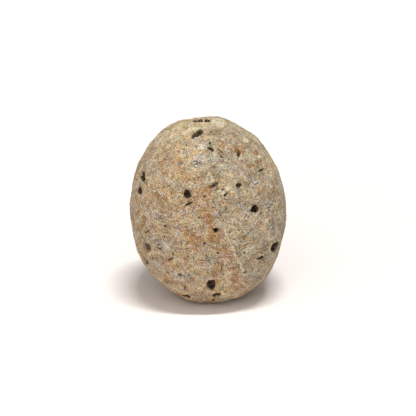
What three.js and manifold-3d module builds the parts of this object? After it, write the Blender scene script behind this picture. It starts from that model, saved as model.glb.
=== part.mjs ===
// A rough medicinal stone: one water-worn pebble of pitted porphyry, standing on the flat that is
// worn on its lower end. Millimetres, +Z up. The broad face that shows looks along -Y, and the
// origin is the middle of the flat.

import * as THREE from "three";
import { mergeVertices } from "three/addons/utils/BufferGeometryUtils.js";
import Module from "manifold-3d";

const wasm = await Module();
wasm.setup();

// The whole pebble, before its foot is worn flat.
const WIDTH = 48.7;
const THICKNESS = 44.0;
const LENGTH = 59.1;
const FOOT_WEAR = 1.5;

// How full its curves are: 2 is an ellipse, and more is squarer.
const OUTLINE_FULLNESS = 2.1;
const FACE_FULLNESS = 2.4;

// Triangles: rings of the pebble's skin from one corner of the icosahedron to the next, and the
// sides and rings of one pit.
const SKIN_STEPS = 14;
const PIT_SIDES = 10;
const PIT_RINGS = 6;

// Swells and worn flats. Each lies in one direction from the middle, rises by a share of the
// pebble's reach there, and fades over a spread in which 1 is about 60 degrees.
const SWELLS = [
  { name: "right shoulder, planed off", toward: [0.62, 0.12, 0.78], rise: -0.026, spread: 0.55 },
  { name: "left shoulder", toward: [-0.42, 0.15, 0.91], rise: 0.016, spread: 0.4 },
  { name: "lower left, planed off", toward: [-0.6, -0.12, -0.8], rise: -0.024, spread: 0.42 },
  { name: "lower right knuckle", toward: [0.62, -0.12, -0.78], rise: 0.038, spread: 0.3 },
  { name: "right edge, filled out", toward: [0.98, 0, -0.19], rise: 0.023, spread: 0.18 },
  { name: "lower front, filled out", toward: [0.05, -0.35, -0.94], rise: 0.006, spread: 0.3 },
  { name: "nick in the crown", toward: [-0.14, 0.2, 1], rise: -0.058, spread: 0.09 },
  { name: "worn front", toward: [0.3, -0.93, -0.2], rise: -0.035, spread: 0.5 },
  { name: "upper front swell", toward: [-0.35, -0.85, 0.4], rise: 0.025, spread: 0.45 },
  { name: "broken flat on the back", toward: [0.25, 0.92, 0.3], rise: -0.075, spread: 0.55 },
  { name: "ridge beside it", toward: [-0.45, 0.88, 0.05], rise: 0.045, spread: 0.3 },
  { name: "lower back hollow", toward: [0.1, 0.8, -0.6], rise: -0.03, spread: 0.25 },
  { name: "chip behind the crown", toward: [0.25, 0.6, 0.76], rise: -0.035, spread: 0.17 },
  { name: "chip behind the left edge", toward: [-0.8, 0.52, -0.3], rise: -0.03, spread: 0.16 },
];

// Long shallow waves in the skin: turns per millimetre, height and starting angle.
const WAVES = [
  { run: [0.062, 0.03, -0.041], height: 0.08, start: 0.4 },
  { run: [-0.045, 0.07, 0.058], height: 0.07, start: 2.1 },
  { run: [0.11, -0.05, 0.09], height: 0.05, start: 4.0 },
];

// Pits on the face, where crystals have weathered out: turn to the right and rise above level as
// seen from the middle, length, width, slope of the length, and depth. All angles are in degrees.
const FRONT_PITS = [
  [-20.5, 71.9, 5.2, 2.8, 70, 2.0],
  [-64.3, 33.1, 4.6, 3.1, -9, 1.6],
  [-62.9, 23.7, 4.3, 2.6, 7, 1.4],
  [-16.7, 30.8, 2.9, 2.2, -78, 1.3],
  [-15.0, 24.6, 2.7, 0.6, 26, 0.9],
  [37.5, 17.3, 2.9, 2.6, -27, 2.1],
  [6.3, 4.3, 1.7, 1.5, -63, 2.4],
  [60.5, -17.9, 6.1, 3.8, -25, 2.1],
  [3.1, -43.0, 5.6, 2.8, -87, 2.0],
  [9.7, -54.0, 3.1, 2.7, 38, 1.5],
  [6.8, -60.2, 2.8, 1.0, 86, 0.8],
  [-25.4, -56.4, 3.3, 2.6, 36, 1.1],
  [-50.9, -15.1, 4.0, 3.1, 33, 1.0],
  [-59.1, -29.9, 4.8, 2.3, 33, 1.0],
  [-43.2, -44.4, 4.7, 2.0, 63, 0.8],
  [5.3, 37.4, 3.1, 1.1, 34, 1.0],
  [14.2, 30.9, 1.6, 0.6, 49, 0.7],
  [3.3, 60.9, 2.4, 1.1, -38, 1.0],
  [35.2, 54.9, 3.0, 1.3, 50, 0.8],
  [26.1, 35.6, 2.0, 1.7, 16, 0.6],
  [53.3, 40.9, 3.2, 0.7, 1, 0.7],
  [-29.8, -20.6, 2.7, 0.9, 43, 0.9],
  [44.3, -22.3, 2.7, 1.0, 1, 0.9],
  [32.2, -32.8, 1.5, 0.6, 40, 0.6],
  [-10.7, 50.3, 3.6, 2.3, -19, 0.4],
  [50.5, 17.0, 4.7, 2.9, -5, 0.35],
];

// The dark crack along the front of the crown.
const CROWN_CRACK = [-69.7, 86.1, 5.2, 2.3, 43, 1.4];

// Pits on the sides and back, spread by steps of irrational shares of a turn so that no two
// are alike. The face, which looks forward and up, and the foot are left as they are.
const SCATTERED_PITS = 48;
const FACING = new THREE.Vector3(0, -0.93, 0.36);
const FACE_EDGE = 0.05;
const FOOT_EDGE = -0.86;
const PIT_LENGTH = { least: 1.2, spread: 2.6 };

const HALF_X = WIDTH / 2;
const HALF_Y = THICKNESS / 2;
const HALF_Z = LENGTH / 2;
const MIDDLE = new THREE.Vector3(0, 0, HALF_Z - FOOT_WEAR);
const swells = SWELLS.map((s) => ({ ...s, toward: new THREE.Vector3(...s.toward).normalize() }));
const waves = WAVES.map((w) => ({ ...w, run: new THREE.Vector3(...w.run) }));

// Distance from the middle to the skin along a unit direction: a superellipsoid's reach, times
// one plus the swells, plus the waves.
function reach(direction) {
  const outline =
    Math.abs(direction.x / HALF_X) ** OUTLINE_FULLNESS +
    Math.abs(direction.z / HALF_Z) ** OUTLINE_FULLNESS;
  const across = Math.abs(direction.y / HALF_Y) ** FACE_FULLNESS;
  const egg = (outline ** (FACE_FULLNESS / OUTLINE_FULLNESS) + across) ** (-1 / FACE_FULLNESS);
  let share = 1;
  for (const { toward, rise, spread } of swells)
    share += rise * Math.exp(-((direction.distanceTo(toward) / spread) ** 2));
  let distance = egg * share;
  for (const { run, height, start } of waves)
    distance += height * Math.sin(2 * Math.PI * egg * run.dot(direction) + start);
  return distance;
}

function skinPoint(direction) {
  return direction.clone().multiplyScalar(reach(direction)).add(MIDDLE);
}

// Outward normal of the skin, from two small steps along it.
function skinNormal(direction) {
  const step = 0.01;
  const side = new THREE.Vector3(direction.z, direction.x, direction.y).cross(direction).normalize();
  const other = direction.clone().cross(side);
  const here = skinPoint(direction);
  const toSide = skinPoint(direction.clone().addScaledVector(side, step).normalize()).sub(here);
  const toOther = skinPoint(direction.clone().addScaledVector(other, step).normalize()).sub(here);
  const normal = toSide.cross(toOther).normalize();
  return normal.dot(direction) < 0 ? normal.negate() : normal;
}

// Direction from the middle: straight ahead, raised, then turned to the right.
function faceDirection(turn, rise) {
  const ahead = new THREE.Vector3(0, -1, 0);
  ahead.applyAxisAngle(new THREE.Vector3(-1, 0, 0), THREE.MathUtils.degToRad(rise));
  return ahead.applyAxisAngle(new THREE.Vector3(0, 0, 1), THREE.MathUtils.degToRad(turn));
}

// Closed geometry to solid, and back.
function toSolid(geometry) {
  const bare = geometry.clone();
  for (const name of Object.keys(bare.attributes)) if (name !== "position") bare.deleteAttribute(name);
  const merged = mergeVertices(bare, 1e-4);
  return new wasm.Manifold(
    new wasm.Mesh({
      numProp: 3,
      vertProperties: new Float32Array(merged.attributes.position.array),
      triVerts: new Uint32Array(merged.index.array),
    }),
  );
}

function toGeometry(solid) {
  const mesh = solid.getMesh();
  const geometry = new THREE.BufferGeometry();
  geometry.setAttribute("position", new THREE.BufferAttribute(mesh.vertProperties, 3));
  geometry.setIndex(new THREE.BufferAttribute(mesh.triVerts, 1));
  const faceted = geometry.toNonIndexed();
  faceted.computeVertexNormals();
  return faceted;
}

// The pebble's skin: an icosahedron's faces divided, and each corner moved out to the skin.
function makePebble() {
  const geometry = new THREE.IcosahedronGeometry(1, SKIN_STEPS);
  const position = geometry.attributes.position;
  const point = new THREE.Vector3();
  for (let i = 0; i < position.count; i += 1) {
    point.fromBufferAttribute(position, i).normalize();
    position.setXYZ(i, ...skinPoint(point));
  }
  return geometry;
}

// The stuff taken out of one pit: a blunt egg with an uneven outline, sunk to its middle in the
// skin. Its bottom is square enough that the pit's rim is sharp.
function makePitCore(direction, [length, width, slope, depth], number) {
  const core = new THREE.SphereGeometry(1, PIT_SIDES, PIT_RINGS).rotateX(Math.PI / 2);
  const position = core.attributes.position;
  const point = new THREE.Vector3();
  for (let i = 0; i < position.count; i += 1) {
    point.fromBufferAttribute(position, i);
    const round = Math.hypot(point.x, point.y);
    const angle = Math.atan2(point.y, point.x);
    const uneven = 1 + 0.06 * Math.sin(3 * angle + 1.7 * number) + 0.04 * Math.sin(5 * angle + number);
    point.divideScalar(Math.cbrt(round ** 3 + Math.abs(point.z) ** 3));
    position.setXYZ(i, point.x * uneven, point.y * uneven, point.z);
  }
  const normal = skinNormal(direction);
  const level = new THREE.Vector3(-normal.y, normal.x, 0);
  if (level.lengthSq() < 1e-6) level.set(1, 0, 0);
  const along = level.normalize().applyAxisAngle(normal, THREE.MathUtils.degToRad(slope));
  const across = normal.clone().cross(along);
  const place = new THREE.Matrix4().makeBasis(
    along.multiplyScalar(length / 2),
    across.multiplyScalar(width / 2),
    normal.multiplyScalar(depth),
  );
  return core.applyMatrix4(place.setPosition(skinPoint(direction)));
}

// Directions and sizes of the pits that are scattered over the sides and back.
function scatteredPits() {
  const pits = [];
  for (let i = 1; i <= SCATTERED_PITS; i += 1) {
    const rise = 1 - 2 * ((i * 0.7549) % 1);
    const turn = 2 * Math.PI * ((i * 0.5698) % 1);
    const round = Math.sqrt(1 - rise * rise);
    const direction = new THREE.Vector3(round * Math.cos(turn), round * Math.sin(turn), rise);
    if (direction.dot(FACING) > FACE_EDGE || direction.z < FOOT_EDGE) continue;
    const length = PIT_LENGTH.least + PIT_LENGTH.spread * ((i * 0.4142) % 1) ** 2;
    const width = length * (0.35 + 0.6 * ((i * 0.7321) % 1));
    const depth = 0.4 + 0.45 * width;
    pits.push({ direction, size: [length, width, 180 * ((i * 0.2361) % 1), depth] });
  }
  return pits;
}

function makeStone() {
  const listed = [...FRONT_PITS, CROWN_CRACK].map(([turn, rise, ...size]) => ({
    direction: faceDirection(turn, rise),
    size,
  }));
  const cores = [...listed, ...scatteredPits()].map(({ direction, size }, number) =>
    toSolid(makePitCore(direction, size, number)),
  );
  const ground = new THREE.BoxGeometry(2 * WIDTH, 2 * WIDTH, LENGTH).translate(0, 0, -LENGTH / 2);
  let solid = toSolid(makePebble()).subtract(toSolid(ground));
  for (const core of cores) solid = solid.subtract(core);
  const material = new THREE.MeshStandardMaterial({ color: 0xb09a79, roughness: 0.9, metalness: 0 });
  const mesh = new THREE.Mesh(toGeometry(solid), material);
  mesh.name = "stone";
  return mesh;
}

const part = new THREE.Group();
part.add(makeStone());

export default part;
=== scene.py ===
"""A rough medicinal stone: one water-worn pebble of pitted porphyry, standing on its worn foot.

Sizes are in millimetres. They become metres where a mesh or the camera is made, and in the scale
of each pattern. The broad pitted face looks along -Y, and the origin is the middle of the flat
that the stone stands on.

The skin is a surface over directions from the stone's middle: a superellipsoid's reach times one
plus the swells, plus three long waves. A pit's floor lies depth * (1 - share**3) ** (1/3) below
the plane that touches the skin at the pit's middle, where share is the distance from that middle
over the pit's uneven outline. Fine relief is a sum of plane waves.
"""

import math

import bpy
import numpy as np
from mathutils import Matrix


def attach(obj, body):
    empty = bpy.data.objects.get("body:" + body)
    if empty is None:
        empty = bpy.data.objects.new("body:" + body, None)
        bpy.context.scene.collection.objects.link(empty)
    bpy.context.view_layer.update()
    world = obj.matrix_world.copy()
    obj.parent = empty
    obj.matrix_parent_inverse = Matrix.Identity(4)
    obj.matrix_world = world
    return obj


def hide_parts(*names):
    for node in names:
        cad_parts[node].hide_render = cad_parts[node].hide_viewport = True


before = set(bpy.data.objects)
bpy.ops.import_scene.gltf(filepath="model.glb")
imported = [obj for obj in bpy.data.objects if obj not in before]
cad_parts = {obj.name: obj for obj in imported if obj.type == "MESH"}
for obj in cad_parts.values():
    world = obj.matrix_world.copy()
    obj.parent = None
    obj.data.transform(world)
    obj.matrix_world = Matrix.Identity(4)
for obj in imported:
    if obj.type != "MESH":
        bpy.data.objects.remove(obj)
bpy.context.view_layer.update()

# The pebble: one piece of porphyry, rolled round in a river, planed off at its shoulders and
# broken flat on its back. It stands on a worn flat about a third of its width across. The sizes
# are the whole egg's, then what is worn off its lower end, and the powers of its outline and of
# its face, where 2 would give an ellipse.
MM = 0.001
WIDTH = 48.7
THICKNESS = 44.0
LENGTH = 59.1
FOOT_WEAR = 1.5
OUTLINE_FULLNESS = 2.1
FACE_FULLNESS = 2.4
MIDDLE = np.array([0, 0, LENGTH / 2 - FOOT_WEAR])

# The swells, and worn flats as falling ones: direction from the middle, rise as a share of the
# reach, and how far a unit direction strays before the swell is down to about a third.
SWELLS = [
    ((0.62, 0.12, 0.78), -0.026, 0.55),
    ((-0.42, 0.15, 0.91), 0.016, 0.4),
    ((-0.6, -0.12, -0.8), -0.024, 0.42),
    ((0.62, -0.12, -0.78), 0.038, 0.3),
    ((0.98, 0, -0.19), 0.023, 0.18),
    ((0.05, -0.35, -0.94), 0.006, 0.3),
    ((-0.14, 0.2, 1), -0.058, 0.09),
    ((0.3, -0.93, -0.2), -0.035, 0.5),
    ((-0.35, -0.85, 0.4), 0.025, 0.45),
    ((0.25, 0.92, 0.3), -0.075, 0.55),
    ((-0.45, 0.88, 0.05), 0.045, 0.3),
    ((0.1, 0.8, -0.6), -0.03, 0.25),
    ((0.25, 0.6, 0.76), -0.035, 0.17),
    ((-0.8, 0.52, -0.3), -0.03, 0.16),
]
# Turns per millimetre, height and starting angle of the long waves.
LONG_WAVES = [
    ((0.062, 0.03, -0.041), 0.08, 0.4),
    ((-0.045, 0.07, 0.058), 0.07, 2.1),
    ((0.11, -0.05, 0.09), 0.05, 4.0),
]

# Quads along one side of the cube that the skin is blown up from, and how far its directions are
# drawn towards the front, where the finest detail is.
SKIN_STEPS = 128
FRONT_DRAW = 0.2


def unit(vectors):
    """Each row divided by its length."""
    return vectors / np.linalg.norm(vectors, axis=-1, keepdims=True)


def reach(directions):
    """Distance from the middle to the skin along unit directions: the superellipsoid's, with one
    power for the outline seen from the front and another towards the face, times one plus each
    rise * exp(-(straying / spread)**2), plus each wave's height * sin."""
    x, y, z = np.abs(directions / (np.array([WIDTH, THICKNESS, LENGTH]) / 2)).T
    outline = x**OUTLINE_FULLNESS + z**OUTLINE_FULLNESS
    egg = (outline ** (FACE_FULLNESS / OUTLINE_FULLNESS) + y**FACE_FULLNESS) ** (-1 / FACE_FULLNESS)
    share = np.ones(len(directions))
    for toward, rise, spread in SWELLS:
        apart = directions - unit(np.array(toward, float))
        share += rise * np.exp(-(apart**2).sum(1) / spread**2)
    distance = egg * share
    for run, height, start in LONG_WAVES:
        distance += height * np.sin(2 * np.pi * egg * (directions @ np.array(run)) + start)
    return distance


def skin(directions):
    """Points of the smooth skin in the given directions from the middle."""
    return MIDDLE + directions * reach(directions)[:, None]


def blown_cube(steps):
    """Directions and quads of a cube blown up to a ball: on each side two angles run evenly from
    -45 to 45 degrees, and the points where sides meet are merged."""
    run = np.tan(np.linspace(-np.pi / 4, np.pi / 4, steps + 1))
    a, b = np.meshgrid(run, run, indexing="ij")
    one = np.ones_like(a)
    sides = [(one, a, b), (-one, b, a), (b, one, a), (a, -one, b), (a, b, one), (b, a, -one)]
    directions = unit(np.concatenate([np.stack(side, -1).reshape(-1, 3) for side in sides]))
    number = np.arange((steps + 1) ** 2).reshape(steps + 1, steps + 1)
    quad = np.stack([number[:-1, :-1], number[1:, :-1], number[1:, 1:], number[:-1, 1:]], -1)
    quads = np.concatenate([quad.reshape(-1, 4) + side * number.size for side in range(6)])
    _, first, merged = np.unique(
        np.round(directions, 6) + 0.0, axis=0, return_index=True, return_inverse=True
    )
    return directions[first], merged.reshape(-1)[quads]


towards, quads = blown_cube(SKIN_STEPS)
towards = unit(towards - [0, FRONT_DRAW, 0])

# The pits: hollows where crystals have weathered out, dark inside with clay and iron, and with
# painted shade that is darkest at their floors. Turn to the right and rise above level as seen
# from the middle, length, width, slope, depth, and how dark.
# Angles are in degrees, here and wherever places are listed.
FRONT_PITS = [
    (-20.5, 71.9, 5.2, 2.8, 70, 2.0, 0.95),
    (-64.3, 33.1, 4.6, 3.1, -9, 1.6, 0.85),
    (-62.9, 23.7, 4.3, 2.6, 7, 1.4, 0.7),
    (-16.7, 30.8, 2.9, 2.2, -78, 1.3, 0.85),
    (-15.0, 24.6, 2.7, 0.6, 26, 0.9, 0.9),
    (37.5, 17.3, 2.9, 2.6, -27, 2.1, 1.0),
    (6.3, 4.3, 1.7, 1.5, -63, 2.4, 1.0),
    (60.5, -17.9, 6.1, 3.8, -25, 2.1, 0.95),
    (3.1, -43.0, 5.6, 2.8, -87, 2.0, 0.9),
    (9.7, -54.0, 3.1, 2.7, 38, 1.5, 1.0),
    (6.8, -60.2, 2.8, 1.0, 86, 0.8, 0.8),
    (-25.4, -56.4, 3.3, 2.6, 36, 1.1, 1.0),
    (-50.9, -15.1, 4.0, 3.1, 33, 1.0, 0.45),
    (-59.1, -29.9, 4.8, 2.3, 33, 1.0, 0.45),
    (-43.2, -44.4, 4.7, 2.0, 63, 0.8, 0.3),
    (5.3, 37.4, 3.1, 1.1, 34, 1.0, 0.4),
    (14.2, 30.9, 1.6, 0.6, 49, 0.7, 0.8),
    (3.3, 60.9, 2.4, 1.1, -38, 1.0, 1.0),
    (35.2, 54.9, 3.0, 1.3, 50, 0.8, 0.6),
    (26.1, 35.6, 2.0, 1.7, 16, 0.6, 0.6),
    (53.3, 40.9, 3.2, 0.7, 1, 0.7, 0.6),
    (-29.8, -20.6, 2.7, 0.9, 43, 0.9, 0.35),
    (44.3, -22.3, 2.7, 1.0, 1, 0.9, 0.8),
    (32.2, -32.8, 1.5, 0.6, 40, 0.6, 0.7),
    (-10.7, 50.3, 3.6, 2.3, -19, 0.4, 0.0),
    (50.5, 17.0, 4.7, 2.9, -5, 0.35, 0.0),
    (-69.7, 86.1, 5.2, 2.3, 43, 1.4, 1.0),
]
# Smaller hollows in the same terms: painted shade along the crown's crack, as three shallow spots
# coloured dark, then slits and pores.
FRONT_PORES = [
    (-81.5, 82.3, 2.0, 1.7, 13, 0.2, 1.0),
    (-93.0, 85.4, 2.1, 1.4, 2, 0.2, 1.0),
    (-59.3, 89.3, 2.5, 1.9, -59, 0.2, 1.0),
    (-47.5, -1.2, 3.4, 0.4, 42, 0.3, 0.8),
    (14.6, 59.1, 2.7, 0.41, -59, 0.3, 0.7),
    (13.9, 54.8, 1.1, 0.51, -33, 0.35, 0.7),
    (-22.1, -45.4, 1.7, 0.5, 69, 0.4, 0.8),
    (11.5, -26.9, 3.8, 0.34, 82, 0.25, 0.5),
    (11.8, 34.4, 0.7, 0.6, 0, 0.4, 0.9),
    (8.0, -15.5, 0.8, 0.6, 53, 0.4, 0.8),
    (-2.6, -6.6, 1.1, 0.6, 63, 0.4, 0.6),
    (-32.6, 5.9, 0.9, 0.6, 6, 0.4, 0.8),
    (-38.0, -13.0, 1.0, 0.6, -48, 0.4, 0.8),
    (-46.1, -21.9, 1.0, 0.8, 21, 0.4, 0.6),
    (-27.5, -15.6, 0.8, 0.6, 12, 0.4, 0.8),
    (-2.4, 30.2, 0.8, 0.6, -1, 0.4, 0.9),
    (6.5, 74.5, 1.5, 1.0, 59, 0.4, 0.6),
    (11.3, 45.5, 0.6, 0.5, 0, 0.3, 0.7),
    (-23.9, -33.3, 1.6, 1.2, 16, 0.35, 0.5),
    (-55.1, 30.4, 1.3, 0.6, -25, 0.4, 0.6),
    (29.3, -16.1, 0.8, 0.7, -27, 0.35, 0.8),
    (41.3, -44.0, 0.8, 0.54, 38, 0.3, 0.8),
    (46.7, -46.8, 0.8, 0.6, 40, 0.3, 0.8),
    (2.8, 64.7, 0.8, 0.8, 19, 0.35, 0.8),
    (-38.4, 26.5, 2.0, 0.5, -5, 0.3, 0.2),
    (25.3, 23.3, 2.1, 1.8, -21, 0.25, 0.25),
    (-32.6, 33.7, 1.5, 1.2, 5, 0.3, 0.35),
]
# The pits and pores of the sides and back: the first of their numbers, how many there are before
# those on the face are left out, least length, spread of lengths, least depth, and the share of
# the width that deepens them.
SCATTERED_PITS = (1, 48, 1.2, 2.6, 0.4, 0.45)
SCATTERED_PORES = (200, 90, 0.5, 1.8, 0.25, 0.2)
# The way that the face looks, and how far along it and how far down scattered places may lie.
FACING = np.array([0, -0.93, 0.36])
FACE_EDGE = 0.05
FOOT_EDGE = -0.86
# What is added from one scattered place to the next, as a share of the whole range. The steps
# round irrational numbers, so that places don't fall into rows.
RISE_STEP = 0.7549
TURN_STEP = 0.5698
LENGTH_STEP = 0.4142
WIDTH_STEP = 0.7321
SLOPE_STEP = 0.2361
STRENGTH_STEP = 0.618
# A scattered place's least width over its length, how much wider it may be, and the least dark.
NARROWEST = 0.35
WIDENING = 0.6
LEAST_DARK = 0.5


def place_on_skin(directions, slopes):
    """Middle, outward normal, and the directions along and across, for places on the skin. The
    normal is the cross product of two small steps, and along is level turned by the slope."""
    step = 0.01
    side = unit(np.cross(directions[:, [2, 0, 1]], directions))
    other = np.cross(directions, side)
    here = skin(directions)
    normal = np.cross(
        skin(unit(directions + step * side)) - here,
        skin(unit(directions + step * other)) - here,
    )
    normal = unit(normal * np.sign((normal * directions).sum(1, keepdims=True)))
    level = unit(np.stack([-normal[:, 1], normal[:, 0], 0 * normal[:, 0]], -1))
    turn = np.radians(slopes)[:, None]
    along = level * np.cos(turn) + np.cross(normal, level) * np.sin(turn)
    return here, normal, along, np.cross(normal, along)


def face_directions(turn, rise):
    """Directions from the middle for the degrees that they turn right of straight ahead and rise
    above level."""
    turn, rise = np.radians([turn, rise])
    return np.stack([np.sin(turn) * np.cos(rise), -np.cos(turn) * np.cos(rise), np.sin(rise)], -1)


def scattered(first, count, least, spread):
    """Directions to places spread evenly over the sides and back, with their lengths, widths and
    slopes, and a share from 0 to 1 for their strength. Short ones are the most common."""
    number = np.arange(first, first + count)
    rise = 1 - 2 * ((number * RISE_STEP) % 1)
    turn = 2 * np.pi * ((number * TURN_STEP) % 1)
    ring = np.sqrt(1 - rise**2)
    directions = np.stack([ring * np.cos(turn), ring * np.sin(turn), rise], -1)
    length = least + spread * ((number * LENGTH_STEP) % 1) ** 2
    width = length * (NARROWEST + WIDENING * ((number * WIDTH_STEP) % 1))
    slope = 180 * ((number * SLOPE_STEP) % 1)
    sizes = np.stack([length, width, slope, (number * STRENGTH_STEP) % 1], -1)
    kept = (directions @ FACING <= FACE_EDGE) & (directions[:, 2] >= FOOT_EDGE)
    return directions[kept], sizes[kept]


pit_directions = []
pit_sizes = []
for front, (*spots, least_depth, deepening) in [
    (FRONT_PITS, SCATTERED_PITS),
    (FRONT_PORES, SCATTERED_PORES),
]:
    rows = np.array(front, float)
    directions, sizes = scattered(*spots)
    depths = least_depth + deepening * sizes[:, 1]
    darkness = LEAST_DARK + (1 - LEAST_DARK) * sizes[:, 3]
    pit_directions += [face_directions(*rows[:, :2].T), directions]
    pit_sizes += [rows[:, 2:], np.column_stack([sizes[:, :3], depths, darkness])]
pit_directions = np.concatenate(pit_directions)
pit_sizes = np.concatenate(pit_sizes)
pit_places = list(zip(*place_on_skin(pit_directions, pit_sizes[:, 2])))

# Lobes round an uneven outline, how far they swell it, and what turns them from place to place.
OUTLINE_LOBES = [(3, 0.06, 1.7), (5, 0.04, 1.0)]
# Points this deep below a place are on the other side of the stone, and count as this far out.
OTHER_SIDE = 0.2 * THICKNESS
FAR_OUT = 99
# Vertices within a few pit radii are drawn in, so that small pits keep a sharp rim: from as far
# out as this share of the outline, by up to this share of their distance.
DRAWN_OUT_TO = 2.4
DRAWN_BY = 0.35


def share_of(points, place, size, number):
    """How far points lie from a place's middle, as a share of its outline, and their offsets
    along and across. The outline is an ellipse times one plus a sine for each set of lobes."""
    centre, normal, along, across = place
    length, width = size[:2]
    offset = points - centre
    u = offset @ along
    v = offset @ across
    angle = np.arctan2(v / width, u / length)
    uneven = np.ones(len(points))
    for lobes, swell, turned in OUTLINE_LOBES:
        uneven += swell * np.sin(lobes * angle + turned * number)
    share = np.hypot(u / (length / 2), v / (width / 2)) / uneven
    share[offset @ normal < -OTHER_SIDE] = FAR_OUT
    return share, u, v


for number, (place, size) in enumerate(zip(pit_places, pit_sizes)):
    points = skin(towards)
    share, u, v = share_of(points, place, size, number)
    near = share < DRAWN_OUT_TO
    drawn = -DRAWN_BY * (1 - (share[near] / DRAWN_OUT_TO) ** 2) ** 2
    shift = (u[near] * drawn)[:, None] * place[2] + (v[near] * drawn)[:, None] * place[3]
    towards[near] = unit(points[near] + shift - MIDDLE)

# Fine relief: wavelength, height and seed of each set of plane waves, and the same for the rubble
# that is left in the pits.
FINE_RELIEF = [(7.0, 0.06, 11), (3.0, 0.045, 12), (1.5, 0.035, 13), (0.8, 0.03, 14)]
RUBBLE_WAVELENGTH = 1.1
RUBBLE_HEIGHT = 0.28
RUBBLE_SEED = 15


def ripples(points, wavelength, seed, count=36):
    """A rough field with a mean square of one: plane waves added up, in random directions, with
    random phases, and each 0.7 to 1.4 times the wavelength long."""
    rng = np.random.default_rng(seed)
    runs = unit(rng.normal(size=(count, 3)))
    turns = 2 * np.pi / (wavelength * rng.uniform(0.7, 1.4, (count, 1)))
    phases = rng.uniform(0, 2 * np.pi, count)
    return np.cos(points @ (runs * turns).T + phases).sum(1) * math.sqrt(2 / count)


smooth = skin(towards)
relief = sum(height * ripples(smooth, wave, seed) for wave, height, seed in FINE_RELIEF)
rubble = RUBBLE_HEIGHT * ripples(smooth, RUBBLE_WAVELENGTH, RUBBLE_SEED)

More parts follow.
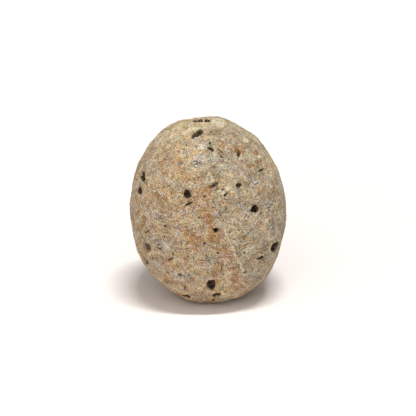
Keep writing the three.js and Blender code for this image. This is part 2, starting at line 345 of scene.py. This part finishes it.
# The marks: grey quartz, cream feldspar, pale rings round old crystals, small clear crystals,
# rusty stains, and washes of lilac and of ochre. Each has rows for the face: turn to the right,
# rise above level, length, width, slope, strength. Next are those of the sides and back: the first
# of their numbers, how many before those on the face are left out, least length and spread of
# lengths. Last come the softness of the edge, or a ring's thickness, and how far the skin rises.
MARKS = {
    "quartz": (
        [
            (-10.7, 50.3, 3.6, 2.6, -20, 0.9),
            (-32.6, 33.7, 1.3, 1.2, -7, 1.0),
            (-37.5, 12.7, 2.7, 1.9, 16, 0.9),
            (25.3, 22.6, 2.0, 1.6, -10, 1.0),
            (50.2, 17.2, 4.7, 3.0, -5, 0.7),
            (2.4, -20.9, 2.9, 2.5, 0, 0.8),
            (-19.8, -5.2, 1.6, 1.0, 12, 0.9),
            (-15.7, -34.2, 1.9, 1.7, -6, 0.9),
            (-84.0, 56.5, 5.6, 3.3, 45, 0.5),
            (-71.1, 51.9, 3.2, 2.6, 40, 0.5),
            (-25.0, 49.0, 1.9, 1.7, -11, 0.6),
            (-36.3, 46.6, 1.1, 1.0, -11, 0.8),
            (24.8, -15.5, 2.2, 2.1, -44, 0.5),
            (56.1, 33.1, 2.6, 2.0, -2, 0.6),
            (40.4, 34.6, 2.6, 1.7, -6, 0.6),
            (-24.3, 7.4, 1.1, 1.0, 25, 0.8),
            (20.7, -24.9, 2.7, 2.4, -23, 0.4),
            (8.6, 16.2, 1.0, 1.0, -46, 0.7),
            (50.2, 1.8, 3.1, 1.8, -12, 0.6),
            (57.1, -8.6, 2.6, 1.5, 74, 0.7),
            (-15.5, 34.8, 1.3, 1.0, 1, 0.5),
        ],
        (300, 44, 1.0, 3.4),
        0.35,
        -0.04,
    ),
    "feldspar": (
        [
            (20.6, 0.6, 3.6, 2.6, 29, 0.6),
            (0.9, 41.6, 4.1, 3.5, 89, 0.6),
            (17.4, 10.8, 4.8, 4.0, 15, 0.6),
            (-70.2, 57.3, 8.4, 4.7, 4, 0.5),
            (-15.6, -10.2, 4.8, 4.0, 8, 0.45),
            (-31.9, -0.7, 6.2, 3.2, 14, 0.34),
            (72.2, 83.1, 8.6, 5.2, 6, 0.9),
            (60.6, 62.2, 3.6, 2.0, -3, 1.0),
            (3.9, 24.5, 3.9, 2.4, -63, 0.3),
            (6.1, 18.6, 2.1, 1.9, -12, 0.4),
            (-12.6, 47.0, 2.6, 0.8, -33, 1.0),
            (2.5, -26.9, 3.0, 1.5, -71, 0.6),
            (-7.9, 10.8, 4.6, 2.5, 11, 0.4),
            (18.4, -6.8, 8.0, 0.8, -73, 0.55),
            (13.8, 6.6, 4.0, 0.8, -58, 0.55),
            (-31.4, -7.9, 3.6, 1.4, 12, 0.5),
            (59.0, 49.0, 1.7, 1.1, -5, 1.0),
            (-20.8, -50.8, 2.4, 1.1, 25, 0.7),
            (-47.7, 64.5, 2.5, 1.7, -63, 0.5),
            (-7.4, 61.5, 2.6, 1.6, 86, 0.5),
            (15.6, -52.7, 1.6, 1.1, -3, 0.7),
            (-21.2, -45.9, 3.4, 0.5, 74, 0.6),
            (0.8, 32.7, 2.9, 2.2, 1, 0.4),
            (-8.0, 22.0, 1.9, 0.49, 27, 0.7),
            (79.1, 24.1, 6.1, 1.7, -87, 0.4),
            (-11.7, 66.6, 0.8, 0.7, 1, 1.0),
        ],
        (400, 40, 1.2, 4.2),
        0.4,
        0.08,
    ),
    "rings": (
        [
            (60.9, 37.3, 2.8, 2.1, 1, 0.9),
            (-10.8, -16.4, 2.5, 2.4, -50, 0.9),
            (-26.5, -45.7, 5.2, 4.4, 49, 0.3),
        ],
        (500, 10, 2.0, 2.4),
        0.2,
        0.05,
    ),
    "crystals": (
        [
            (-17.8, 67.6, 1.1, 0.7, 39, 0.8),
            (-75.0, 30.5, 1.4, 0.8, 14, 0.6),
            (58.6, 49.0, 1.6, 0.8, -17, 0.8),
            (7.0, 18.2, 0.9, 0.7, -46, 0.6),
            (-10.8, 26.6, 0.9, 0.3, 27, 0.5),
        ],
        (900, 12, 0.5, 0.6),
        0.8,
        0.0,
    ),
    "rust": (
        [
            (34.1, 47.4, 5.1, 4.0, 55, 0.6),
            (-14.2, 28.0, 9.0, 7.7, 26, 0.9),
            (39.5, 58.2, 6.7, 4.5, 15, 0.8),
            (42.6, 5.3, 8.1, 2.4, -35, 0.8),
            (-33.6, 43.3, 5.5, 3.6, 4, 0.5),
            (63.6, 42.0, 8.1, 4.2, -8, 0.6),
            (-1.6, -9.6, 6.0, 5.3, -11, 0.5),
            (9.8, -17.7, 6.7, 3.6, -72, 0.8),
            (63.6, 56.9, 9.4, 5.4, 3, 0.8),
            (33.0, 49.5, 4.9, 3.6, 3, 0.7),
            (33.6, 41.8, 4.1, 3.0, -4, 0.5),
            (-41.6, 25.5, 6.3, 3.6, 13, 0.6),
            (-7.9, -37.6, 7.0, 6.4, 41, 0.6),
            (-70.2, 29.3, 11.2, 3.1, 15, 0.5),
            (-18.0, 44.8, 7.9, 3.9, -32, 0.7),
            (-2.5, 34.6, 6.5, 4.1, -60, 1.0),
            (-24.2, 27.5, 5.5, 4.2, 7, 0.5),
            (-42.5, 25.3, 7.1, 3.9, 3, 0.75),
            (0.0, 13.4, 5.2, 3.2, -30, 1.0),
            (11.8, 3.0, 3.9, 3.5, -70, 0.8),
            (-6.2, -5.1, 12.5, 7.7, -37, 0.55),
            (20.7, -24.9, 13.5, 4.0, -71, 0.75),
            (-31.8, -20.1, 6.0, 2.5, 40, 0.8),
            (39.0, 57.6, 6.7, 3.9, -4, 0.85),
            (59.9, 46.4, 5.4, 4.7, 87, 0.7),
            (41.7, 29.7, 2.8, 1.8, -10, 1.0),
            (35.3, 69.0, 7.1, 4.9, 7, 0.4),
            (-52.4, 49.9, 9.5, 6.7, 8, 0.35),
            (-27.0, -44.3, 7.6, 5.2, -8, 0.5),
            (-9.3, 23.6, 4.2, 3.6, 6, 0.7),
            (27.0, -43.7, 6.3, 4.2, -61, 0.9),
            (42.5, 3.8, 8.1, 1.4, -63, 0.9),
            (-104.4, 85.1, 6.1, 2.4, -79, 1.0),
            (-19.5, 81.3, 4.3, 3.4, -2, 0.6),
            (17.1, 78.0, 4.6, 2.4, 64, 0.6),
            (-10.3, 40.6, 5.9, 4.7, 1, 0.6),
            (-45.4, -45.0, 8.6, 2.2, 43, 0.7),
            (11.2, -12.7, 6.1, 5.3, -11, 0.6),
            (41.5, 45.9, 5.5, 1.8, 3, 0.6),
        ],
        (600, 44, 1.6, 7.0),
        1.0,
        0.0,
    ),
    "lilac": (
        [
            (31.2, 43.4, 6.0, 4.2, -4, 0.8),
            (39.6, 36.9, 5.0, 3.0, -8, 0.7),
            (-11.6, 54.7, 4.2, 2.5, 1, 0.6),
            (40.3, -41.9, 12.0, 4.4, -50, 0.9),
            (-68.1, 65.6, 8.7, 5.4, -1, 0.7),
            (-7.3, 46.2, 4.7, 3.6, 0, 0.7),
            (15.1, -56.3, 6.1, 4.0, -24, 0.6),
            (-67.2, 63.1, 10.5, 6.0, -10, 0.7),
            (-65.7, 40.4, 12.1, 8.7, -77, 0.5),
            (14.7, 54.1, 6.0, 4.7, 2, 0.6),
            (19.5, 46.2, 5.5, 4.8, 1, 0.6),
            (-7.9, 51.1, 4.1, 3.1, 0, 0.5),
            (-38.1, 13.9, 7.6, 4.9, 16, 0.7),
            (-55.1, -4.1, 11.4, 5.9, 87, 0.4),
            (-35.6, -7.0, 8.0, 6.5, 7, 0.8),
            (-46.8, -28.7, 8.5, 6.7, 43, 0.9),
            (-21.0, -36.0, 9.1, 6.0, -12, 0.8),
            (2.4, -22.7, 7.0, 3.4, 83, 0.7),
            (40.4, -37.5, 11.9, 9.0, -41, 0.9),
            (50.7, -26.8, 8.1, 7.3, 75, 0.8),
            (25.3, 23.3, 4.5, 3.6, -16, 0.5),
            (51.2, 17.1, 6.8, 3.7, -20, 0.7),
            (65.7, 23.6, 12.5, 8.0, 56, 0.5),
            (55.9, -1.3, 6.8, 6.6, 25, 0.8),
            (23.7, 7.1, 8.2, 4.9, 84, 0.4),
            (3.1, 18.0, 4.1, 3.7, -11, 0.7),
            (47.4, 40.6, 5.8, 3.7, -3, 0.5),
            (5.9, 59.2, 4.2, 4.0, 25, 0.5),
            (26.0, 39.1, 4.4, 3.5, -4, 0.4),
        ],
        (700, 22, 5.0, 9.0),
        1.6,
        0.0,
    ),
    "ochre": (
        [
            (82.8, 60.7, 12.0, 5.5, -10, 0.9),
            (10.5, 31.0, 5.3, 4.1, 90, 0.6),
            (-65.5, 70.3, 12.8, 11.9, 51, 0.9),
            (109.9, 68.3, 12.0, 8.0, -26, 0.9),
            (86.0, 42.2, 12.0, 8.0, -16, 0.9),
            (-14.5, 82.9, 10.6, 8.6, -1, 0.7),
            (15.2, 37.2, 5.4, 4.2, -32, 0.9),
            (48.2, 0.9, 8.7, 5.4, 81, 0.4),
            (29.3, 59.4, 6.6, 5.0, 8, 0.3),
            (-17.2, 27.1, 2.4, 2.4, 52, 0.3),
            (35.4, -14.4, 6.5, 3.9, -22, 0.35),
        ],
        (800, 22, 3.0, 7.0),
        1.2,
        0.0,
    ),
}


# Scattered marks have this strength, with up to that much more.
LEAST_STRENGTH = 0.4
STRENGTHENING = 0.5
# Added to a mark's number, so that its outline isn't that of the pit with the same number.
OUTLINES_ON = 3


def marked(rows, spots, softness, hollow):
    """How strongly each vertex is marked: fully inside an uneven outline and half on it, fading
    evenly over the softness. A hollow mark is a ring, exp(-((share - 1) / softness)**2)."""
    rows = np.array(rows, float)
    directions, sizes = scattered(*spots)
    strengths = LEAST_STRENGTH + STRENGTHENING * sizes[:, 3]
    directions = np.concatenate([face_directions(*rows[:, :2].T), directions])
    sizes = np.concatenate([rows[:, 2:], np.column_stack([sizes[:, :3], strengths])])
    amount = np.zeros(len(smooth))
    for number, place in enumerate(zip(*place_on_skin(directions, sizes[:, 2]))):
        share, _, _ = share_of(smooth, place, sizes[number], number + OUTLINES_ON)
        if hollow:
            fade = np.exp(-(((share - 1) / softness) ** 2))
        else:
            fade = np.clip((1 - share) / softness + 0.5, 0, 1)
        amount = np.maximum(amount, sizes[number, 3] * fade)
    return amount


marks = {}
for name, (rows, spots, softness, _) in MARKS.items():
    marks[name] = marked(rows, spots, softness, name == "rings")
# The cream patch on the crown ends square at its left, at the crack: how far right of the middle
# the crack lies, and from what height up.
CRACK_PLACE = 0.9
CRACK_HEIGHT = 54.6
cut = (smooth[:, 0] < CRACK_PLACE) & (smooth[:, 2] > CRACK_HEIGHT)
marks["feldspar"] = np.where(cut, 0, marks["feldspar"])
for name, (_, _, _, rise) in MARKS.items():
    relief += rise * marks[name]
# Two beds of the rock meet along a line that winds down the face, given by heights above the foot
# and places right of the middle. Right of it the rock turns ashen, over the softness either side.
SEAM_HEIGHTS = [6.7, 13.4, 18.6, 22.9, 27.1, 30.9, 34.7, 39.2, 45.4, 49.4, 54.6, 57.2]
SEAM_PLACES = [10.9, 10.4, 8.4, 6.9, 5.3, 3.5, 1.8, 1.2, -0.6, -2.4, -0.3, 0.9]
SEAM_SOFTNESS = 0.35
seam = np.interp(smooth[:, 2], SEAM_HEIGHTS, SEAM_PLACES)
right_of_seam = smooth[:, 0] - seam
marks["ashen"] = 1 / (1 + np.exp(-right_of_seam / SEAM_SOFTNESS))
# Low on the face iron has crept along the seam's left side, and the lip on its right is bleached:
# strength, how far right of the seam, half its width, and the heights that it lies between.
SEAM_EDGES = {"rust": (1.2, -1.7, 1.4, 9, 37), "feldspar": (0.75, 0.8, 0.6, 13, 33)}
for name, (strength, beside, wide, lowest, highest) in SEAM_EDGES.items():
    faced = (smooth[:, 1] < 0) & (smooth[:, 2] > lowest) & (smooth[:, 2] < highest)
    strip = strength * faced * np.exp(-(((right_of_seam - beside) / wide) ** 2))
    marks[name] = np.maximum(marks[name], strip)

# Each pit is sunk, and darkened with its clay and with painted shade that is deepest at its floor.
# Just outside its outline lies a pale rim, a painted highlight on its lip: the share at which the
# rim is palest, and how far it fades to either side. Pits shallower than 1 mm hold less rubble.
LIP_HIGHLIGHT_PLACE = 1.12
LIP_HIGHLIGHT_FADE = 0.16
points = smooth + towards * relief[:, None]
marks["pit_clay_and_shade"] = np.zeros(len(points))
marks["pit_lip_highlight"] = np.zeros(len(points))
for number, (place, size) in enumerate(zip(pit_places, pit_sizes)):
    share, _, _ = share_of(smooth, place, size, number)
    centre, normal = place[:2]
    depth, darkness = size[3:]
    profile = np.cbrt(np.clip(1 - share**3, 0, 1))
    floor = (depth + min(depth, 1) * rubble) * profile
    drop = np.where(share < 1, np.clip((points - centre) @ normal + floor, 0, None), 0)
    points -= drop[:, None] * normal
    # A pale painted highlight on the pit's lip, just outside its outline.
    lip_highlight = np.exp(-(((share - LIP_HIGHLIGHT_PLACE) / LIP_HIGHLIGHT_FADE) ** 2))
    # Painted shade with the clay: darkest where the pit is deepest.
    marks["pit_clay_and_shade"] = np.maximum(marks["pit_clay_and_shade"], darkness * profile)
    marks["pit_lip_highlight"] = np.maximum(marks["pit_lip_highlight"], darkness * lip_highlight)
# The foot is worn flat where the stone meets the ground.
points[:, 2] = np.maximum(points[:, 2], 0)

mesh = bpy.data.meshes.new("pebble")
mesh.from_pydata((points * MM).tolist(), [], quads.tolist())
mesh.shade_smooth()
mesh.update()
for name, values in marks.items():
    mesh.attributes.new(name, "FLOAT", "POINT").data.foreach_set("value", values.astype(np.float32))
pebble = bpy.data.objects.new("pebble", mesh)
bpy.context.scene.collection.objects.link(pebble)


# Its finish is weathered porphyry: a fine groundmass of tan, cream, brown and grey grains, left
# matt and open by the river, with iron that has crept along its cracks. To the eye it is a warm,
# dry, peppered tan that turns ash grey on the right.
def linear(colour):
    """An sRGB hex colour as linear red, green, blue and alpha."""
    srgb = [int(colour[i : i + 2], 16) / 255 for i in (1, 3, 5)]
    return [c / 12.92 if c <= 0.04045 else ((c + 0.055) / 1.055) ** 2.4 for c in srgb] + [1]


def add(tree, kind, inputs=None, stops=(), **settings):
    """Adds a node with its settings. Each named or numbered input gets its value or link, and a
    colour ramp gets its stops, given as place and hex colour."""
    node = tree.nodes.new(kind)
    for name, value in settings.items():
        setattr(node, name, value)
    for name, value in (inputs or {}).items():
        if isinstance(value, bpy.types.NodeSocket):
            tree.links.new(value, node.inputs[name])
        else:
            node.inputs[name].default_value = value
    if stops:
        ramp = node.color_ramp.elements
        ramp[0].position = stops[0][0]
        ramp[1].position = stops[-1][0]
        for at, _ in stops[1:-1]:
            ramp.new(at)
        for element, (_, colour) in zip(ramp, stops):
            element.color = linear(colour)
    return node


porphyry = bpy.data.materials.new("weathered_porphyry")
porphyry.use_nodes = True
tree = porphyry.node_tree
tree.nodes.clear()
position = add(tree, "ShaderNodeTexCoord").outputs["Object"]
# Clouds from three millimetres across down to single grains, in the colours of five washes. The
# shades are where the noise has each of a wash's colours, from dark to light.
CLOUDS_ACROSS = 3.0
clouds = add(
    tree,
    "ShaderNodeTexNoise",
    {
        "Vector": position,
        "Scale": 1 / (CLOUDS_ACROSS * MM),
        "Detail": 6.0,
        "Roughness": 0.6,
        "Distortion": 0.4,
    },
)
SHADES = [0.3, 0.42, 0.5, 0.58, 0.7]
WASHES = {
    "tan": ["#8a6139", "#a57f55", "#b3946d", "#c1ac8b", "#d1c6b0"],
    "ashen": ["#7b6848", "#938465", "#a19579", "#b0a68d", "#c9c2b0"],
    "lilac": ["#796e69", "#928782", "#a1978f", "#b0a79f", "#cbc4bb"],
    "ochre": ["#aa8f5e", "#c2ab7a", "#cfbc91", "#dacda9", "#e7e1cc"],
    "rust": ["#6f431f", "#8d5c30", "#9d7143", "#ac865e", "#c2a686"],
}
washes = {}
for name, colours in WASHES.items():
    stops = list(zip(SHADES, colours))
    ramp = add(tree, "ShaderNodeValToRGB", {"Fac": clouds.outputs["Fac"]}, stops)
    washes[name] = ramp.outputs["Color"]
# Where each mark starts and is full once noise has broken up its edge: the noise's grain in
# millimetres, how much it counts, the two limits, and the most that the mark covers. The limits
# move up by what the noise adds on average, which is half of what it counts.
MARK_EDGES = {
    "ashen": (2.0, 0.8, 0.35, 0.65, 1.0),
    "lilac": (2.0, 1.6, 0.2, 0.9, 0.75),
    "ochre": (2.0, 1.6, 0.2, 0.9, 0.75),
    "rust": (1.3, 1.6, 0.2, 0.9, 0.88),
    "feldspar": (0.9, 1.2, 0.3, 0.8, 0.7),
    "rings": (0.9, 1.0, 0.3, 0.7, 0.7),
    "quartz": (0.8, 0.9, 0.35, 0.6, 0.85),
    "crystals": (0.5, 1.0, 0.2, 0.8, 0.8),
    "pit_lip_highlight": (0.6, 1.2, 0.3, 1.1, 0.45),
    "pit_clay_and_shade": (0.6, 0.6, 0.15, 0.6, 1.0),
}
masks = {}
for name, (size, counts, start, full, most) in MARK_EDGES.items():
    amount = add(tree, "ShaderNodeAttribute", attribute_name=name)
    grain = add(
        tree, "ShaderNodeTexNoise", {"Vector": position, "Scale": 1 / (size * MM), "Detail": 3}
    )
    ragged = add(
        tree,
        "ShaderNodeMath",
        {0: grain.outputs["Fac"], 1: counts, 2: amount.outputs["Fac"]},
        operation="MULTIPLY_ADD",
    )
    limits = {1: start + counts / 2, 2: full + counts / 2, 3: 0.0, 4: most}
    mask = add(
        tree,
        "ShaderNodeMapRange",
        {"Value": ragged.outputs[0], **limits},
        interpolation_type="SMOOTHSTEP",
    )
    masks[name] = mask.outputs["Result"]
# Clay and iron tint the two beds in patches, from lilac grey over tan to orange, and leave their
# light and dark alone. The other washes lie over that. The layers lie on the tan wash from here
# up: how much of each shows, its colour, and how it blends.
HUES = [(0.37, "#a69a9b"), (0.46, "#b2a283"), (0.54, "#c0a277"), (0.63, "#b3824b")]
HUES_ACROSS = 2.6
HUES_SHARE = 0.6
hue_noise = add(
    tree,
    "ShaderNodeTexNoise",
    {"Vector": position, "Scale": 1 / (HUES_ACROSS * MM), "Detail": 5, "Roughness": 0.62},
)
hue = add(tree, "ShaderNodeValToRGB", {"Fac": hue_noise.outputs["Fac"]}, HUES)
layers = [(masks["ashen"], washes["ashen"], "MIX"), (HUES_SHARE, hue.outputs["Color"], "COLOR")]
layers += [(masks[name], washes[name], "MIX") for name in ("lilac", "rust", "ochre")]
# Plates and grains are single crystals, cells with wandering edges, picked by one channel of
# their random colour: size and wander in millimetres, channel, where picking starts and is full,
# the most that they cover, and their colour. The noise strays by about a quarter, so it is
# divided by that.
WANDER_ACROSS = 0.9
NOISE_STRAYS = 1 / 4
wobble = add(
    tree,
    "ShaderNodeTexNoise",
    {"Vector": position, "Scale": 1 / (WANDER_ACROSS * MM), "Detail": 2},
)
PLATES = [
    (3.2, 0.5, "Red", 0.75, 0.77, 0.25, "#cfc2a4"),
    (3.2, 0.5, "Green", 0.75, 0.77, 0.3, "#a57a4c"),
    (3.2, 0.5, "Blue", 0.75, 0.77, 0.3, "#a39a8e"),
    (1.3, 0.35, "Red", 0.8, 0.84, 0.3, "#d6cbb0"),
    (1.3, 0.35, "Green", 0.84, 0.88, 0.35, "#94703f"),
    (1.3, 0.35, "Blue", 0.84, 0.88, 0.4, "#9d968c"),
]
GRAINS = [
    (0.42, 0.15, "Red", 0.92, 0.96, 0.5, "#e6dfcc"),
    (0.42, 0.15, "Green", 0.88, 0.93, 0.5, "#6d5539"),
    (0.42, 0.15, "Blue", 0.95, 0.97, 0.8, "#3f2e1d"),
]
picked = {}
for size, wander, channel, start, full, most, shade in PLATES + GRAINS:
    shifted = add(
        tree,
        "ShaderNodeVectorMath",
        {0: wobble.outputs["Color"], 1: (wander / NOISE_STRAYS * MM,) * 3, 2: position},
        operation="MULTIPLY_ADD",
    )
    cells = add(
        tree, "ShaderNodeTexVoronoi", {"Vector": shifted.outputs[0], "Scale": 1 / (size * MM)}
    )
    parts = add(tree, "ShaderNodeSeparateColor", {"Color": cells.outputs["Color"]})
    limits = {1: start, 2: full, 3: 0.0, 4: most}
    chosen = add(tree, "ShaderNodeMapRange", {"Value": parts.outputs[channel], **limits})
    picked[size, channel] = (chosen.outputs["Result"], linear(shade), "MIX")
layers += [picked[row[0], row[2]] for row in PLATES]
# Grey quartz is mottled with its own clouds.
MOTTLES = [(0.38, "#5d5850"), (0.5, "#989084"), (0.64, "#d6cfc2")]
MOTTLES_ACROSS = 0.5
mottling = add(
    tree,
    "ShaderNodeTexNoise",
    {"Vector": position, "Scale": 1 / (MOTTLES_ACROSS * MM), "Detail": 2},
)
mottles = add(tree, "ShaderNodeValToRGB", {"Fac": mottling.outputs["Fac"]}, MOTTLES)
layers += [
    (masks["feldspar"], linear("#dcd1b6"), "MIX"),
    (masks["rings"], linear("#d9cdb2"), "MIX"),
    (masks["quartz"], mottles.outputs["Color"], "MIX"),
]
# Each grain of the groundmass has its own tint, and painted shade in the gaps and painted glints
# on bright faces pepper it dark and light. The finest real grains are smaller than this, and drawn
# as coarse as they need to show.
GRAIN_ACROSS = 0.34
TINT_SHARE = 0.5
tint = add(
    tree,
    "ShaderNodeTexNoise",
    {"Vector": position, "Scale": 1 / (GRAIN_ACROSS * MM), "Detail": 2, "Roughness": 0.6},
)
GRIT_SHADE_AND_GLINT = [(0.3, "#403b35"), (0.41, "#9b9894"), (0.5, "#bcbcba"), (0.59, "#d8d8d2"), (0.7, "#fffff6")]
SHADE_AND_GLINT_ACROSS = 0.28
shade_and_glint_noise = add(
    tree,
    "ShaderNodeTexNoise",
    {"Vector": position, "Scale": 1 / (SHADE_AND_GLINT_ACROSS * MM), "Detail": 2, "Roughness": 0.7},
)
grit_shade_and_glint = add(tree, "ShaderNodeValToRGB", {"Fac": shade_and_glint_noise.outputs["Fac"]}, GRIT_SHADE_AND_GLINT)
layers += [(TINT_SHARE, tint.outputs["Color"], "OVERLAY"), (1.0, grit_shade_and_glint.outputs["Color"], "OVERLAY")]
# Hairlines: the contours of a coarse noise, seen only in patches, each with a pale lip. The lip's
# and then the line's own level, how far the noise may be from it, most cover, and colour.
HAIRLINES = [(0.512, 0.016, 0.5, "#e0d0a6"), (0.5, 0.01, 0.7, "#66482c")]
CONTOURS_ACROSS = 3.4
PATCHES_ACROSS = 2.2
PATCHES_START = 0.52
PATCHES_FULL = 0.6
contours = add(
    tree,
    "ShaderNodeTexNoise",
    {"Vector": position, "Scale": 1 / (CONTOURS_ACROSS * MM), "Detail": 3, "Distortion": 0.6},
)
patches = add(
    tree,
    "ShaderNodeTexNoise",
    {"Vector": position, "Scale": 1 / (PATCHES_ACROSS * MM), "Detail": 1},
)
seen = add(
    tree,
    "ShaderNodeMapRange",
    {"Value": patches.outputs["Fac"], 1: PATCHES_START, 2: PATCHES_FULL, 3: 0.0, 4: 1.0},
)
for level, within, most, shade in HAIRLINES:
    line = add(
        tree,
        "ShaderNodeMath",
        {0: contours.outputs["Fac"], 1: level, 2: within},
        operation="COMPARE",
    )
    shown = add(
        tree,
        "ShaderNodeMath",
        {0: line.outputs[0], 1: seen.outputs["Result"]},
        operation="MULTIPLY",
    )
    faded = add(tree, "ShaderNodeMath", {0: shown.outputs[0], 1: most}, operation="MULTIPLY")
    layers.append((faded.outputs[0], linear(shade), "MIX"))
layers += [picked[row[0], row[2]] for row in GRAINS]
# The pits are lined with dark clay and painted shade, darker towards their floors, and the clear
# crystals lie over everything.
PIT_CLAY_AND_SHADE = [(0.4, "#130d07"), (0.52, "#33251a"), (0.66, "#75593c")]
clay_and_shade_lining = add(tree, "ShaderNodeValToRGB", {"Fac": mottling.outputs["Fac"]}, PIT_CLAY_AND_SHADE)
layers += [
    # A pale painted highlight on each pit's lip.
    (masks["pit_lip_highlight"], linear("#d6c195"), "MIX"),
    (masks["pit_clay_and_shade"], clay_and_shade_lining.outputs["Color"], "MIX"),
    (masks["crystals"], linear("#d3d1cd"), "MIX"),
]
colour = washes["tan"]
for share, over, blend in layers:
    mixed = add(
        tree, "ShaderNodeMix", {0: share, 6: colour, 7: over}, data_type="RGBA", blend_type=blend
    )
    colour = mixed.outputs[2]
# The surface is open between the grains, which gives it a dry sparkle of light and shade. Hard
# plates stand proud and soft ones are worn low: how far, as a share of the bump's height.
PLATE_LIFTS = {(3.2, "Red"): 0.5, (3.2, "Green"): -0.5, (1.3, "Red"): 0.4, (1.3, "Blue"): -0.6}
TOOTH_ACROSS = 0.45
TOOTH_HEIGHT = 0.3
tooth = add(
    tree,
    "ShaderNodeTexNoise",
    {"Vector": position, "Scale": 1 / (TOOTH_ACROSS * MM), "Detail": 3, "Roughness": 0.6},
)
height = tooth.outputs["Fac"]
for plate, lift in PLATE_LIFTS.items():
    raised = add(
        tree, "ShaderNodeMath", {0: picked[plate][0], 1: lift, 2: height}, operation="MULTIPLY_ADD"
    )
    height = raised.outputs[0]
bump = add(
    tree, "ShaderNodeBump", {"Strength": 0.8, "Distance": TOOTH_HEIGHT * MM, "Height": height}
)
# Quartz and feldspar bend light by about 1.54, and a river-worn face is nearly fully rough.
shader = add(
    tree,
    "ShaderNodeBsdfPrincipled",
    {"Base Color": colour, "Roughness": 0.85, "IOR": 1.54, "Normal": bump.outputs["Normal"]},
)
add(tree, "ShaderNodeOutputMaterial", {"Surface": shader.outputs["BSDF"]})
mesh.materials.append(porphyry)
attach(pebble, "root")
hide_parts("stone")

# The ground: a plain pale sheet of matt paper, 12 m across, so brightly lit that only the stone's
# shadow shows on it.
GROUND_SIZE = 12000
ground_mesh = bpy.data.meshes.new("ground")
half = GROUND_SIZE * MM / 2
ground_mesh.from_pydata(
    [(-half, -half, 0), (half, -half, 0), (half, half, 0), (-half, half, 0)], [], [(0, 1, 2, 3)]
)
ground = bpy.data.objects.new("ground", ground_mesh)
bpy.context.scene.collection.objects.link(ground)
paper = bpy.data.materials.new("matt_white_paper")
paper.use_nodes = True
paper_inputs = paper.node_tree.nodes["Principled BSDF"].inputs
paper_inputs["Base Color"].default_value = linear("#f7f0ec")
paper_inputs["Roughness"].default_value = 1.0
paper_inputs["Specular IOR Level"].default_value = 0.0
ground_mesh.materials.append(paper)

# The light: a strip of lamps overhead and a little in front, a broad lamp lower down in front and
# to the left, and an even white surround. Strength, size across in degrees, and the direction
# that each shines from.
STRIP = (-0.05, 0.0, 0.05, 0.09, 0.14, 0.19, 0.23, 0.28)
LAMPS = [(0.3, 4, (x, -0.18, 1)) for x in STRIP] + [(1.2, 70, (-0.28, -0.94, 1))]
SURROUND = 0.18
for number, (strength, across, source) in enumerate(LAMPS):
    sun = bpy.data.lights.new(f"lamp_{number}", "SUN")
    sun.energy = strength
    sun.angle = math.radians(across)
    lamp = bpy.data.objects.new(f"lamp_{number}", sun)
    x, y, z = source
    lamp.rotation_euler = (math.atan2(math.hypot(x, y), z), 0, math.atan2(x, -y))
    bpy.context.scene.collection.objects.link(lamp)
world = bpy.data.worlds.new("surround")
world.use_nodes = True
# Seen directly the surround is white, so that the sheet has no horizon.
sky = world.node_tree.nodes["Background"]
seen_directly = add(world.node_tree, "ShaderNodeLightPath").outputs["Is Camera Ray"]
strength = add(
    world.node_tree, "ShaderNodeMath", {0: seen_directly, 1: SURROUND}, operation="MAXIMUM"
)
sky.inputs["Color"].default_value = (1, 1, 1, 1)
world.node_tree.links.new(strength.outputs[0], sky.inputs["Strength"])
bpy.context.scene.world = world

# The camera: a long lens in front of the stone. Degrees above level, distance from the point that
# it aims at, and that point's height above the ground.
CAMERA_RISE = 21
CAMERA_DISTANCE = 364.2
CAMERA_AIM = 28.66
camera_data = bpy.data.cameras.new("camera")
camera_data.lens = 100
camera_data.sensor_width = 36
camera_data.clip_end = 50
camera = bpy.data.objects.new("camera", camera_data)
rise = math.radians(CAMERA_RISE)
camera.location = (
    0,
    -CAMERA_DISTANCE * math.cos(rise) * MM,
    (CAMERA_AIM + CAMERA_DISTANCE * math.sin(rise)) * MM,
)
camera.rotation_euler = (math.pi / 2 - rise, 0, 0)
bpy.context.scene.collection.objects.link(camera)
bpy.context.scene.camera = camera
bpy.context.scene.view_settings.view_transform = "Standard"
